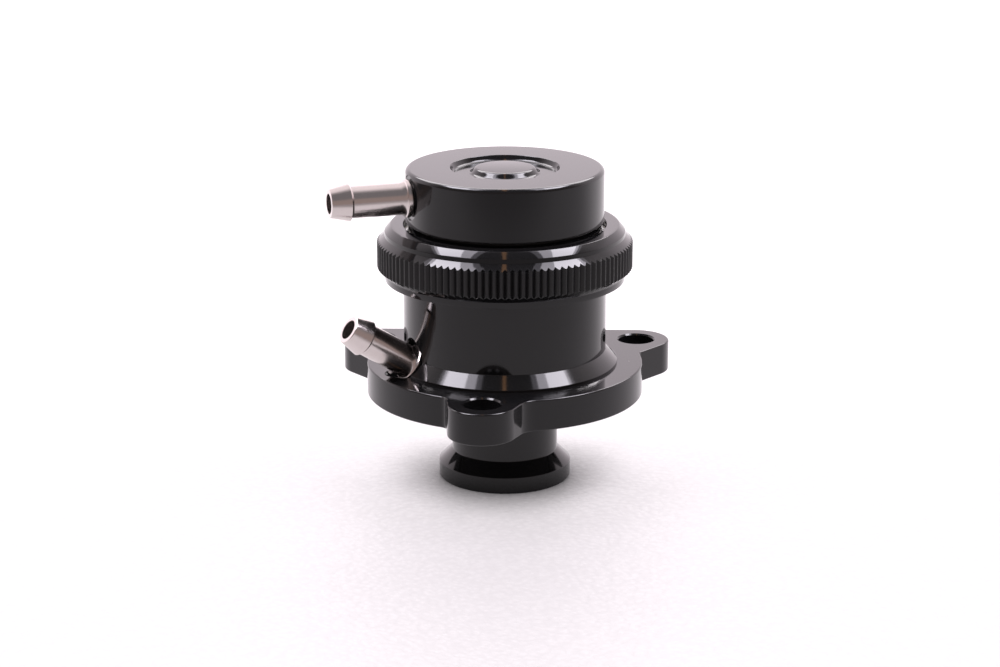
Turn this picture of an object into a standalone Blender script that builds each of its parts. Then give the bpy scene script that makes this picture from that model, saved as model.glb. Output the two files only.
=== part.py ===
# Blow off valve: a sprung piston in a flanged body, under a cap held by a knurled locking collar.
# Metres, +Z up. The origin is the middle of the piston lip's underside, on which the valve stands.
# The piston, the cap and the collar move along or about the Z axis.

import math
from collections import namedtuple

import bmesh
import bpy
from mathutils import Vector

# Clearances
SEAT_GAP = 0.0003  # faces that rest on each other, and walls that slide or turn in each other
SEAL_GAP = 0.00015  # a sealing ring to each wall of its groove
CUT_MARGIN = 0.001  # how far a cutter runs past the face it opens

# Piston nose: the tube with the flared lip that shows below the flange
NOSE_RADIUS = 0.01015
NOSE_WALL = 0.00195
NOSE_FLOOR = 0.0045
NOSE_PROJECTION = 0.017  # lip's underside to flange's underside with the valve shut
NOSE_EDGE = 0.0003
LIP_FLARE = 0.00255  # how far the lip stands out from the tube
LIP_HEIGHT = 0.00315
LIP_CONE_HEIGHT = 0.00242
LIP_EDGE = 0.0004
STEM_RADIUS = 0.0045  # post inside the nose that takes the screw

# Piston crown: the head that slides in the body's bore
CROWN_FLOOR = 0.0034
CROWN_EDGE = 0.0003
CROWN_LAND = 0.0016  # below the ring groove
CROWN_MIDDLE_LAND = 0.001
CROWN_TOP_LAND = 0.001
CROWN_POCKET_WALL = 0.0018  # between the ring groove and the spring pocket
SPIGOT_DEPTH = 0.0023  # reach of the crown into the nose
PISTON_STROKE = 0.009
STROKE_RESERVE = 0.0015  # free height left above the crown at full lift
PISTON_RING_SECTION = 0.0016
WEAR_BAND_THICKNESS = 0.0009
WEAR_BAND_HEIGHT = 0.0016

# Screw that joins the crown to the nose
SCREW_RADIUS = 0.0025
SCREW_LENGTH = 0.014
SCREW_HEAD_RADIUS = 0.00425
SCREW_HEAD_HEIGHT = 0.005
SCREW_HEAD_EDGE = 0.0004
HEX_SOCKET_RADIUS = 0.0023
HEX_SOCKET_DEPTH = 0.0025
SCREW_HEAD_RECESS = 0.0003  # crown's top above the screw's head
COUNTERBORE_GAP = 0.00035
SCREW_BOSS_WALL = 0.0019

# Guide in the flange that the nose slides in
THROAT_GAP = 0.00055  # nose to the hole through the flange
THROAT_LIP = 0.0022  # flange metal under the bush
BUSH_WALL = 0.00065
BUSH_HEIGHT = 0.0032
SNAP_RING_THICKNESS = 0.0005
SNAP_RING_DEPTH = 0.0006  # how deep its groove is cut into the boss
SNAP_RING_OPENING = 0.005
BOSS_WALL = 0.0012
BOSS_LAND = 0.00055  # boss above the snap ring groove
CHAMBER_WIDTH = 0.0014  # ring-shaped space round the boss
CHAMBER_FLOOR = 0.0024

# Flange with its three ears
FLANGE_THICKNESS = 0.00605
FLANGE_EDGE = 0.0003
FLANGE_LAND = 0.00485  # from the foot of the cone to the disc's edge
FACE_RING_SECTION = 0.0018
FACE_RING_INSET = 0.0048  # from the disc's edge to the middle of the ring
EAR_RADIUS = 0.00645
BOLT_HOLE_RADIUS = 0.00345
BOLT_HOLE_EDGE = 0.0003
RIGHT_EAR_ANGLE = 27.8
RIGHT_EAR_REACH = 0.00285  # from the disc's edge to the bolt's axis
LEFT_EAR_ANGLE = 149.8
LEFT_EAR_REACH = 0.00275
FRONT_EAR_ANGLE = 261.5
FRONT_EAR_REACH = 0.00185
SIDE_EAR_TAPER = 21.0  # flank of a side ear that faces the front
REAR_TAPER = 29.0  # flank of a side ear that faces the rear
FRONT_EAR_TAPER = 12.0  # its left flank
FRONT_EAR_WIDE_TAPER = 17.0  # its right flank
SIDE_FILLET = 0.0014
FRONT_FILLET = 0.002
REAR_FILLET = 0.004
WIDE_FILLET = 0.0042

# Barrel above the flange
BODY_WALL = 0.00535
CONE_SPREAD = 0.00225
CONE_STEP = 0.00045
CONE_HEIGHT = 0.00225
THREAD_STEP = 0.00105  # how far the collar's thread stands out from the barrel
THREAD_LENGTH = 0.0051
THREAD_EDGE = 0.0003
RIM_RING_SECTION = 0.0015
RIM_RING_INSET = 0.0036  # from the bore to the middle of the ring

# Cap
CAP_STEP = 0.00157  # cap's wall inside the thread's radius
CAP_WALL_HEIGHT = 0.0102
CAP_EDGE = 0.0005
CAP_FOOT_EDGE = 0.0002
CAP_CEILING = 0.0027
CAP_NECK_DEPTH = 0.00053
CAP_FLANGE_THICKNESS = 0.0009
CAP_SPIGOT_LENGTH = 0.0028
CAP_SPIGOT_WALL = 0.0017
TOP_BOSS_RADIUS = 0.00555
TOP_BOSS_SLOPE = 0.0009
TOP_RIM_WIDTH = 0.00833  # cap's wall to the groove
TOP_GROOVE_ROUND = 0.0016
TOP_GROOVE_DEPTH = 0.0009
SHADOW_GAP = 0.0007  # collar's top to the foot of the cap's wall

# Locking collar
COLLAR_LIP = 0.0013
COLLAR_LIP_GAP = 0.0005  # collar's mouth to the cap's wall
COLLAR_SKIRT_WALL = 0.0022
COLLAR_SKIRT_HEIGHT = 0.00125
COLLAR_LOWER_CHAMFER = 0.00125
COLLAR_NECK_WALL = 0.00215
COLLAR_NECK_HEIGHT = 0.0008
COLLAR_UPPER_CHAMFER = 0.0012
COLLAR_TOP_CHAMFER = 0.0012
COLLAR_TOP_CHAMFER_WIDTH = 0.00115
KNURL_WALL = 0.0036
KNURL_HEIGHT = 0.00485
KNURL_DEPTH = 0.00053
KNURL_CREST = 0.0003
KNURL_TEETH = 112
SLIP_RING_THICKNESS = 0.0006

# Return spring and its shim
SPRING_WIRE = 0.0018
SPRING_POCKET_GAP = 0.0005
SPRING_GUIDE_GAP = 0.001
SPRING_GUIDE_LENGTH = 0.0023
SPRING_TURNS = 7.0
SPRING_END_TURNS = 1.0  # closed turns at each end
SPRING_END_GAP = 0.0002  # wire to wire in a closed turn
SHIM_THICKNESS = 0.001

# Hose nipples, one in the cap and one in the body
NIPPLE_LENGTH = 0.0153  # shoulder's underside to tip
NIPPLE_RADIUS = 0.00304
NIPPLE_BORE = 0.0019
SHOULDER_RISE = 0.00056
SHOULDER_HEIGHT = 0.0008
SHOULDER_FILLET = 0.0011
BARB_RISE = 0.00049
BARB_BACK = 0.0004
BARB_LENGTH = 0.0037
BARB_TIP_RADIUS = 0.0027
BARB_TIP_EDGE = 0.00025
STUD_RADIUS = 0.0029
STUD_LENGTH = 0.003
STUD_EDGE = 0.0003
PASSAGE_RADIUS = 0.0015
SPOT_FACE_MARGIN = 0.00067  # spot face outside the nipple's shoulder
CAP_NIPPLE_ANGLE = 197.5
CAP_NIPPLE_DROP = 0.0047  # cap's top to the nipple's axis
CAP_NIPPLE_INSET = 0.00025  # spot face inside the cap's wall
BODY_NIPPLE_ANGLE = 205.0
BODY_NIPPLE_RISE = 33.0
BODY_NIPPLE_DROP = 0.005  # flange's underside to where the nipple's axis meets the valve's
BODY_NIPPLE_INSET = 0.00022  # middle of the spot face inside the barrel's wall

# Facets
LARGE_STEPS = 48
MIDDLE_STEPS = 40
RING_STEPS = 36
SMALL_STEPS = 20
RING_SIDES = 6
WIRE_STEPS_PER_TURN = 16
ARC_STEP = 7.5
TIGHT_ARC_STEP = 15.0
SHARP_ANGLE = 35.0
MERGE_DISTANCE = 1e-7

# Radii that follow, from the nose outwards
LIP_RADIUS = NOSE_RADIUS + LIP_FLARE
NOSE_BORE = NOSE_RADIUS - NOSE_WALL
BUSH_BORE = NOSE_RADIUS + SEAT_GAP
BUSH_RADIUS = BUSH_BORE + BUSH_WALL
BOSS_BORE = BUSH_RADIUS + SEAT_GAP
BOSS_RADIUS = BOSS_BORE + BOSS_WALL
BORE_RADIUS = BOSS_RADIUS + CHAMBER_WIDTH
CROWN_RADIUS = BORE_RADIUS - SEAT_GAP
BODY_RADIUS = BORE_RADIUS + BODY_WALL
CONE_FOOT_RADIUS = BODY_RADIUS + CONE_SPREAD
FLANGE_RADIUS = CONE_FOOT_RADIUS + FLANGE_LAND
THREAD_RADIUS = BODY_RADIUS + THREAD_STEP
COLLAR_BORE = THREAD_RADIUS + SEAT_GAP
CAP_RADIUS = THREAD_RADIUS - CAP_STEP
CAP_NECK_RADIUS = CAP_RADIUS - CAP_NECK_DEPTH
COLLAR_MOUTH = CAP_RADIUS + COLLAR_LIP_GAP
CAP_SPIGOT_RADIUS = BORE_RADIUS - SEAT_GAP
CAP_CAVITY_RADIUS = CAP_SPIGOT_RADIUS - CAP_SPIGOT_WALL
RING_GROOVE_RADIUS = BORE_RADIUS - PISTON_RING_SECTION - 2 * SEAL_GAP
BAND_GROOVE_RADIUS = BORE_RADIUS - WEAR_BAND_THICKNESS - 2 * SEAL_GAP
CROWN_POCKET_RADIUS = RING_GROOVE_RADIUS - CROWN_POCKET_WALL
SPRING_RADIUS = CROWN_POCKET_RADIUS - SPRING_POCKET_GAP - SPRING_WIRE / 2
SPRING_GUIDE_RADIUS = SPRING_RADIUS - SPRING_WIRE / 2 - SPRING_GUIDE_GAP
SCREW_HOLE_RADIUS = SCREW_RADIUS + SEAT_GAP
COUNTERBORE_RADIUS = SCREW_HEAD_RADIUS + COUNTERBORE_GAP
SCREW_BOSS_RADIUS = COUNTERBORE_RADIUS + SCREW_BOSS_WALL
SHOULDER_RADIUS = NIPPLE_RADIUS + SHOULDER_RISE
SPOT_FACE_RADIUS = SHOULDER_RADIUS + SPOT_FACE_MARGIN
STUD_HOLE_RADIUS = STUD_RADIUS + SEAT_GAP
NOSE_SEAL_SECTION = BOSS_BORE - NOSE_RADIUS - 2 * SEAL_GAP

# Heights that follow, from the floor up
FLANGE_BOTTOM = NOSE_PROJECTION
FLANGE_TOP = FLANGE_BOTTOM + FLANGE_THICKNESS
CONE_BOTTOM = FLANGE_TOP + CONE_STEP
CONE_TOP = CONE_BOTTOM + CONE_HEIGHT
BUSH_SEAT = FLANGE_BOTTOM + THROAT_LIP
BUSH_BOTTOM = BUSH_SEAT + SEAT_GAP
BUSH_TOP = BUSH_BOTTOM + BUSH_HEIGHT
SNAP_GROOVE_BOTTOM = BUSH_TOP + NOSE_SEAL_SECTION + 2 * SEAL_GAP
SNAP_GROOVE_TOP = SNAP_GROOVE_BOTTOM + SNAP_RING_THICKNESS + 2 * SEAL_GAP
BOSS_TOP = SNAP_GROOVE_TOP + BOSS_LAND
CROWN_BOTTOM = BOSS_TOP + SEAT_GAP
CROWN_POCKET_FLOOR = CROWN_BOTTOM + CROWN_FLOOR
RING_GROOVE_BOTTOM = CROWN_BOTTOM + CROWN_LAND
RING_GROOVE_TOP = RING_GROOVE_BOTTOM + PISTON_RING_SECTION + 2 * SEAT_GAP
BAND_GROOVE_BOTTOM = RING_GROOVE_TOP + CROWN_MIDDLE_LAND
BAND_GROOVE_TOP = BAND_GROOVE_BOTTOM + WEAR_BAND_HEIGHT + 2 * SEAL_GAP
CROWN_TOP = BAND_GROOVE_TOP + CROWN_TOP_LAND
SCREW_HEAD_BOTTOM = CROWN_TOP - SCREW_HEAD_RECESS - SCREW_HEAD_HEIGHT
COUNTERBORE_FLOOR = SCREW_HEAD_BOTTOM - SEAT_GAP
STEM_TOP = CROWN_BOTTOM - SPIGOT_DEPTH - SEAT_GAP
CAP_SPIGOT_BOTTOM = CROWN_TOP + PISTON_STROKE + STROKE_RESERVE
CAP_FLANGE_BOTTOM = CAP_SPIGOT_BOTTOM + CAP_SPIGOT_LENGTH
RIM_TOP = CAP_FLANGE_BOTTOM - SEAT_GAP
CAP_FLANGE_TOP = CAP_FLANGE_BOTTOM + CAP_FLANGE_THICKNESS
SLIP_RING_BOTTOM = CAP_FLANGE_TOP + SEAT_GAP
COLLAR_LIP_BOTTOM = SLIP_RING_BOTTOM + SLIP_RING_THICKNESS + SEAT_GAP
COLLAR_TOP = COLLAR_LIP_BOTTOM + COLLAR_LIP
NECK_TOP = COLLAR_TOP - COLLAR_TOP_CHAMFER
NECK_BOTTOM = NECK_TOP - COLLAR_NECK_HEIGHT
KNURL_TOP = NECK_BOTTOM - COLLAR_UPPER_CHAMFER
KNURL_BOTTOM = KNURL_TOP - KNURL_HEIGHT
SKIRT_TOP = KNURL_BOTTOM - COLLAR_LOWER_CHAMFER
COLLAR_BOTTOM = SKIRT_TOP - COLLAR_SKIRT_HEIGHT
CAP_WALL_BOTTOM = COLLAR_TOP + SHADOW_GAP
CAP_TOP = CAP_WALL_BOTTOM + CAP_WALL_HEIGHT
CEILING = CAP_TOP - CAP_CEILING
SHIM_TOP = CEILING - SEAT_GAP
SHIM_BOTTOM = SHIM_TOP - SHIM_THICKNESS

Ear = namedtuple("Ear", "angle reach clockwise anticlockwise")
Flank = namedtuple("Flank", "taper fillet")
Finish = namedtuple("Finish", "color metallic roughness")

EARS = {
    "right": Ear(
        RIGHT_EAR_ANGLE,
        RIGHT_EAR_REACH,
        clockwise=Flank(SIDE_EAR_TAPER, SIDE_FILLET),
        anticlockwise=Flank(REAR_TAPER, REAR_FILLET),
    ),
    "left": Ear(
        LEFT_EAR_ANGLE,
        LEFT_EAR_REACH,
        clockwise=Flank(REAR_TAPER, REAR_FILLET),
        anticlockwise=Flank(SIDE_EAR_TAPER, SIDE_FILLET),
    ),
    "front": Ear(
        FRONT_EAR_ANGLE,
        FRONT_EAR_REACH,
        clockwise=Flank(FRONT_EAR_TAPER, FRONT_FILLET),
        anticlockwise=Flank(FRONT_EAR_WIDE_TAPER, WIDE_FILLET),
    ),
}

FINISHES = {
    "black_anodised": Finish((0.018, 0.018, 0.02), 0.6, 0.3),
    "black_polished": Finish((0.012, 0.012, 0.014), 0.6, 0.12),
    "stainless": Finish((0.62, 0.6, 0.57), 1.0, 0.22),
    "spring_steel": Finish((0.42, 0.42, 0.43), 1.0, 0.35),
    "bronze": Finish((0.55, 0.36, 0.18), 1.0, 0.35),
    "rubber": Finish((0.02, 0.02, 0.02), 0.0, 0.7),
    "ptfe": Finish((0.75, 0.74, 0.7), 0.0, 0.5),
    "black_steel": Finish((0.03, 0.03, 0.032), 0.8, 0.4),
}


def clear_scene():
    for leftover in list(bpy.data.objects):
        bpy.data.objects.remove(leftover, do_unlink=True)


def make_finish(name):
    finish = FINISHES[name]
    material = bpy.data.materials.new(name)
    material.use_nodes = True
    shader = material.node_tree.nodes["Principled BSDF"]
    shader.inputs["Base Color"].default_value = (*finish.color, 1.0)
    shader.inputs["Metallic"].default_value = finish.metallic
    shader.inputs["Roughness"].default_value = finish.roughness
    return material


def add_axis(name):
    axis = bpy.data.objects.new(name, None)
    bpy.context.scene.collection.objects.link(axis)
    return axis


def add_object(name, data, finish=None, parent=None):
    made = bpy.data.objects.new(name, data)
    bpy.context.scene.collection.objects.link(made)
    made.parent = parent
    if finish is not None:
        data.materials.append(finish)
    return made


def add_mesh(name, bm, finish=None, parent=None):
    bmesh.ops.recalc_face_normals(bm, faces=bm.faces)
    mesh = bpy.data.meshes.new(name)
    bm.to_mesh(mesh)
    bm.free()
    mesh.shade_smooth()
    mesh.set_sharp_from_angle(angle=math.radians(SHARP_ANGLE))
    return add_object(name, mesh, finish, parent)


def turn(name, outline, steps, finish=None, parent=None):
    # outline holds (radius, height) points. It is closed, or starts and ends on the axis.
    bm = bmesh.new()
    points = [bm.verts.new((radius, 0, height)) for radius, height in outline]
    edges = [bm.edges.new(pair) for pair in zip(points, points[1:])]
    if outline[0][0] > 0:
        edges.append(bm.edges.new((points[-1], points[0])))
    bmesh.ops.spin(
        bm,
        geom=points + edges,
        cent=(0, 0, 0),
        axis=(0, 0, 1),
        angle=math.tau,
        steps=steps,
        use_merge=True,
    )
    bmesh.ops.remove_doubles(bm, verts=bm.verts, dist=MERGE_DISTANCE)
    return add_mesh(name, bm, finish, parent)


def turn_ring(name, bore, radius, bottom, top, steps, finish=None, parent=None):
    outline = [(bore, top), (radius, top), (radius, bottom), (bore, bottom)]
    return turn(name, outline, steps, finish, parent)


def turn_rod(name, radius, bottom, top, steps):
    return turn(name, [(0, top), (radius, top), (radius, bottom), (0, bottom)], steps)


def turn_sealing_ring(name, radius, section, middle, finish, parent):
    outline = []
    for side in range(RING_SIDES):
        angle = math.tau * side / RING_SIDES
        outline.append((radius + section / 2 * math.cos(angle), middle + section / 2 * math.sin(angle)))
    return turn(name, outline, RING_STEPS, finish, parent)


def combine(target, other, operation):
    other.hide_render = True
    other.display_type = "WIRE"
    modifier = target.modifiers.new(other.name, "BOOLEAN")
    modifier.operation = operation
    modifier.solver = "EXACT"
    modifier.object = other


def cut(target, cutter):
    combine(target, cutter, "DIFFERENCE")


def settle(made):
    # Makes the cut shape the object's own mesh, and marks the sharp edges of that shape.
    cutters = [modifier.object for modifier in made.modifiers if modifier.type == "BOOLEAN"]
    shaped = made.evaluated_get(bpy.context.evaluated_depsgraph_get())
    mesh = bpy.data.meshes.new_from_object(shaped)
    made.modifiers.clear()
    made.data = mesh
    mesh.name = made.name
    mesh.shade_smooth()
    mesh.set_sharp_from_angle(angle=math.radians(SHARP_ANGLE))
    for cutter in cutters:
        bpy.data.objects.remove(cutter, do_unlink=True)
    return made


def aim(placed, location, direction):
    placed.location = location
    placed.rotation_mode = "QUATERNION"
    placed.rotation_quaternion = Vector((0, 0, 1)).rotation_difference(direction)


def arc_points(centre, start, end, sense, step):
    # sense is 1 for anticlockwise and -1 for clockwise
    first = math.atan2(start.y - centre.y, start.x - centre.x)
    last = math.atan2(end.y - centre.y, end.x - centre.x)
    sweep = (sense * (last - first)) % math.tau
    count = max(2, math.ceil(math.degrees(sweep) / step))
    radius = (start - centre).length
    points = []
    for index in range(count + 1):
        angle = first + sense * sweep * index / count
        points.append(centre + radius * Vector((math.cos(angle), math.sin(angle))))
    return points


def ear_direction(ear):
    angle = math.radians(ear.angle)
    return Vector((math.cos(angle), math.sin(angle)))


def bolt_centre(ear):
    return (FLANGE_RADIUS + ear.reach) * ear_direction(ear)


def flank_points(ear, side):
    # A straight flank leaves the ear's round tip and runs into the disc through a hollow fillet.
    flank = ear.anticlockwise if side > 0 else ear.clockwise
    taper = math.radians(flank.taper)
    outward = ear_direction(ear)
    across = side * Vector((-outward.y, outward.x))
    normal = math.cos(taper) * across + math.sin(taper) * outward
    inward = math.sin(taper) * across - math.cos(taper) * outward
    tip = bolt_centre(ear) + EAR_RADIUS * normal
    offset = tip + flank.fillet * normal
    reach = FLANGE_RADIUS + flank.fillet
    along = offset.dot(inward)
    run = -along - math.sqrt(along**2 - offset.length_squared + reach**2)
    fillet_centre = offset + run * inward
    foot = fillet_centre - flank.fillet * normal
    on_disc = fillet_centre * FLANGE_RADIUS / reach
    return tip, foot, fillet_centre, on_disc


def flange_outline():
    outline = []
    ears = sorted(EARS.values(), key=lambda ear: ear.angle)
    for index, ear in enumerate(ears):
        tip_in, foot_in, centre_in, disc_in = flank_points(ear, -1)
        tip_out, foot_out, centre_out, disc_out = flank_points(ear, 1)
        disc_next = flank_points(ears[(index + 1) % len(ears)], -1)[3]
        outline += arc_points(centre_in, disc_in, foot_in, -1, TIGHT_ARC_STEP)
        outline += arc_points(bolt_centre(ear), tip_in, tip_out, 1, TIGHT_ARC_STEP)
        outline += arc_points(centre_out, foot_out, disc_out, -1, TIGHT_ARC_STEP)
        outline += arc_points(Vector((0, 0)), disc_out, disc_next, 1, ARC_STEP)[1:-1]
    return outline


def make_flange_plate(finish, parent):
    bm = bmesh.new()
    corners = [bm.verts.new((point.x, point.y, FLANGE_BOTTOM)) for point in flange_outline()]
    underside = bm.faces.new(corners)
    extruded = bmesh.ops.extrude_face_region(bm, geom=[underside])
    top = [item for item in extruded["geom"] if isinstance(item, bmesh.types.BMVert)]
    bmesh.ops.translate(bm, verts=top, vec=(0, 0, FLANGE_THICKNESS))
    plate = add_mesh("valve_body", bm, finish, parent)
    edge = plate.modifiers.new("edge_break", "BEVEL")
    edge.width = FLANGE_EDGE
    edge.segments = 1
    edge.limit_method = "ANGLE"
    edge.angle_limit = math.radians(60)
    return plate


def make_barrel():
    start = (FLANGE_BOTTOM + FLANGE_TOP) / 2
    outline = [
        (0, RIM_TOP),
        (THREAD_RADIUS - THREAD_EDGE, RIM_TOP),
        (THREAD_RADIUS, RIM_TOP - THREAD_EDGE),
        (THREAD_RADIUS, RIM_TOP - THREAD_LENGTH),
        (BODY_RADIUS, RIM_TOP - THREAD_LENGTH),
        (BODY_RADIUS, CONE_TOP),
        (CONE_FOOT_RADIUS, CONE_BOTTOM),
        (CONE_FOOT_RADIUS, start),
        (0, start),
    ]
    return turn("barrel", outline, LARGE_STEPS)


def make_body_core():
    throat = NOSE_RADIUS + THROAT_GAP
    chamber_floor = FLANGE_BOTTOM + CHAMBER_FLOOR
    snap_groove = BOSS_BORE + SNAP_RING_DEPTH
    outline = [
        (0, RIM_TOP + CUT_MARGIN),
        (BORE_RADIUS, RIM_TOP + CUT_MARGIN),
        (BORE_RADIUS, chamber_floor),
        (BOSS_RADIUS, chamber_floor),
        (BOSS_RADIUS, BOSS_TOP),
        (BOSS_BORE, BOSS_TOP),
        (BOSS_BORE, SNAP_GROOVE_TOP),
        (snap_groove, SNAP_GROOVE_TOP),
        (snap_groove, SNAP_GROOVE_BOTTOM),
        (BOSS_BORE, SNAP_GROOVE_BOTTOM),
        (BOSS_BORE, BUSH_SEAT),
        (throat, BUSH_SEAT),
        (throat, FLANGE_BOTTOM - CUT_MARGIN),
        (0, FLANGE_BOTTOM - CUT_MARGIN),
    ]
    return turn("body_core", outline, LARGE_STEPS)


def make_ring_groove(name, middle_radius, section, floor, mouth):
    half = section / 2 + SEAL_GAP
    return turn_ring(
        name,
        middle_radius - half,
        middle_radius + half,
        min(floor, mouth),
        max(floor, mouth),
        LARGE_STEPS,
    )


def body_nipple_direction():
    angle = math.radians(BODY_NIPPLE_ANGLE)
    rise = math.radians(BODY_NIPPLE_RISE)
    level = math.cos(rise)
    return Vector((level * math.cos(angle), level * math.sin(angle), math.sin(rise)))


def body_nipple_point(level_distance):
    # The point of the body nipple's axis that lies this far from the valve's axis.
    start = Vector((0, 0, FLANGE_BOTTOM - BODY_NIPPLE_DROP))
    return start + level_distance / math.cos(math.radians(BODY_NIPPLE_RISE)) * body_nipple_direction()


def cap_nipple_direction():
    angle = math.radians(CAP_NIPPLE_ANGLE)
    return Vector((math.cos(angle), math.sin(angle), 0))


def cap_nipple_point(level_distance):
    return Vector((0, 0, CAP_TOP - CAP_NIPPLE_DROP)) + level_distance * cap_nipple_direction()


def bore_for_nipple(target, seat, direction, passage_end, parent):
    # Spot face, threaded hole and a narrow passage, all on the nipple's axis.
    passage = (seat - passage_end).length
    clear = NIPPLE_LENGTH / 2
    hole_end = -STUD_LENGTH
    outline = [
        (0, clear),
        (SPOT_FACE_RADIUS, clear),
        (SPOT_FACE_RADIUS, 0),
        (STUD_HOLE_RADIUS, 0),
        (STUD_HOLE_RADIUS, hole_end),
        (PASSAGE_RADIUS, hole_end),
        (PASSAGE_RADIUS, -passage),
        (0, -passage),
    ]
    cutter = turn(f"{target.name}_nipple_bore", outline, SMALL_STEPS)
    cutter.parent = parent
    aim(cutter, seat, direction)
    cut(target, cutter)


def make_bolt_hole(name, ear):
    bottom = FLANGE_BOTTOM - CUT_MARGIN
    top = FLANGE_TOP + CUT_MARGIN
    outline = [
        (0, top),
        (BOLT_HOLE_RADIUS + BOLT_HOLE_EDGE + CUT_MARGIN, top),
        (BOLT_HOLE_RADIUS, FLANGE_TOP - BOLT_HOLE_EDGE),
        (BOLT_HOLE_RADIUS, bottom),
        (0, bottom),
    ]
    hole = turn(name, outline, SMALL_STEPS)
    hole.location = (*bolt_centre(ear), 0)
    return hole


def make_valve_body(finish, parent):
    body = make_flange_plate(finish, parent)
    combine(body, make_barrel(), "UNION")
    cut(body, make_body_core())
    rim_ring = BORE_RADIUS + RIM_RING_INSET
    rim_floor = RIM_TOP + SEAT_GAP - RIM_RING_SECTION - 2 * SEAL_GAP
    rim_mouth = RIM_TOP + CUT_MARGIN
    cut(body, make_ring_groove("rim_groove", rim_ring, RIM_RING_SECTION, rim_floor, rim_mouth))
    face_ring = FLANGE_RADIUS - FACE_RING_INSET
    face_floor = FLANGE_BOTTOM + FACE_RING_SECTION + SEAL_GAP
    face_mouth = FLANGE_BOTTOM - CUT_MARGIN
    cut(body, make_ring_groove("face_groove", face_ring, FACE_RING_SECTION, face_floor, face_mouth))
    for side, ear in EARS.items():
        cut(body, make_bolt_hole(f"{side}_bolt_hole", ear))
    seat = body_nipple_point(BODY_RADIUS - BODY_NIPPLE_INSET)
    chamber_end = BOSS_RADIUS + SEAL_GAP + PASSAGE_RADIUS * math.sin(math.radians(BODY_NIPPLE_RISE))
    bore_for_nipple(body, seat, body_nipple_direction(), body_nipple_point(chamber_end), parent)
    return settle(body)


def make_guide_bush(finish, parent):
    return turn_ring(
        "guide_bush",
        BUSH_BORE,
        BUSH_RADIUS,
        BUSH_BOTTOM,
        BUSH_TOP,
        MIDDLE_STEPS,
        finish,
        parent,
    )


def make_snap_ring(finish, parent):
    ring = turn_ring(
        "seal_retainer",
        NOSE_RADIUS + 1.5 * SEAT_GAP,
        BOSS_BORE + SNAP_RING_DEPTH - SEAT_GAP,
        SNAP_GROOVE_BOTTOM + SEAL_GAP,
        SNAP_GROOVE_TOP - SEAL_GAP,
        MIDDLE_STEPS,
        finish,
        parent,
    )
    bm = bmesh.new()
    bmesh.ops.create_cube(bm, size=SNAP_RING_OPENING)
    opening = add_mesh("retainer_opening", bm)
    opening.location = (0, BOSS_BORE, (SNAP_GROOVE_BOTTOM + SNAP_GROOVE_TOP) / 2)
    cut(ring, opening)
    return settle(ring)


def make_piston_nose(finish, parent):
    screw_end = SCREW_HEAD_BOTTOM - SCREW_LENGTH
    cone_top = LIP_HEIGHT + LIP_CONE_HEIGHT
    outline = [
        (0, screw_end - SEAT_GAP),
        (SCREW_HOLE_RADIUS, screw_end - SEAT_GAP),
        (SCREW_HOLE_RADIUS, STEM_TOP),
        (STEM_RADIUS, STEM_TOP),
        (STEM_RADIUS, NOSE_FLOOR),
        (NOSE_BORE, NOSE_FLOOR),
        (NOSE_BORE, BOSS_TOP),
        (NOSE_RADIUS - NOSE_EDGE, BOSS_TOP),
        (NOSE_RADIUS, BOSS_TOP - NOSE_EDGE),
        (NOSE_RADIUS, cone_top),
        (LIP_RADIUS, LIP_HEIGHT),
        (LIP_RADIUS, LIP_EDGE),
        (LIP_RADIUS - LIP_EDGE, 0),
        (0, 0),
    ]
    return turn("piston_nose", outline, MIDDLE_STEPS, finish, parent)


def make_piston_crown(finish, parent):
    spigot = NOSE_BORE - SEAT_GAP
    outline = [
        (SCREW_HOLE_RADIUS, CROWN_BOTTOM - SPIGOT_DEPTH),
        (SCREW_HOLE_RADIUS, COUNTERBORE_FLOOR),
        (COUNTERBORE_RADIUS, COUNTERBORE_FLOOR),
        (COUNTERBORE_RADIUS, CROWN_TOP),
        (SCREW_BOSS_RADIUS, CROWN_TOP),
        (SCREW_BOSS_RADIUS, CROWN_POCKET_FLOOR),
        (CROWN_POCKET_RADIUS, CROWN_POCKET_FLOOR),
        (CROWN_POCKET_RADIUS, CROWN_TOP),
        (CROWN_RADIUS - CROWN_EDGE, CROWN_TOP),
        (CROWN_RADIUS, CROWN_TOP - CROWN_EDGE),
        (CROWN_RADIUS, BAND_GROOVE_TOP),
        (BAND_GROOVE_RADIUS, BAND_GROOVE_TOP),
        (BAND_GROOVE_RADIUS, BAND_GROOVE_BOTTOM),
        (CROWN_RADIUS, BAND_GROOVE_BOTTOM),
        (CROWN_RADIUS, RING_GROOVE_TOP),
        (RING_GROOVE_RADIUS, RING_GROOVE_TOP),
        (RING_GROOVE_RADIUS, RING_GROOVE_BOTTOM),
        (CROWN_RADIUS, RING_GROOVE_BOTTOM),
        (CROWN_RADIUS, CROWN_BOTTOM + CROWN_EDGE),
        (CROWN_RADIUS - CROWN_EDGE, CROWN_BOTTOM),
        (spigot, CROWN_BOTTOM),
        (spigot, CROWN_BOTTOM - SPIGOT_DEPTH),
    ]
    return turn("piston_crown", outline, MIDDLE_STEPS, finish, parent)


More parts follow.
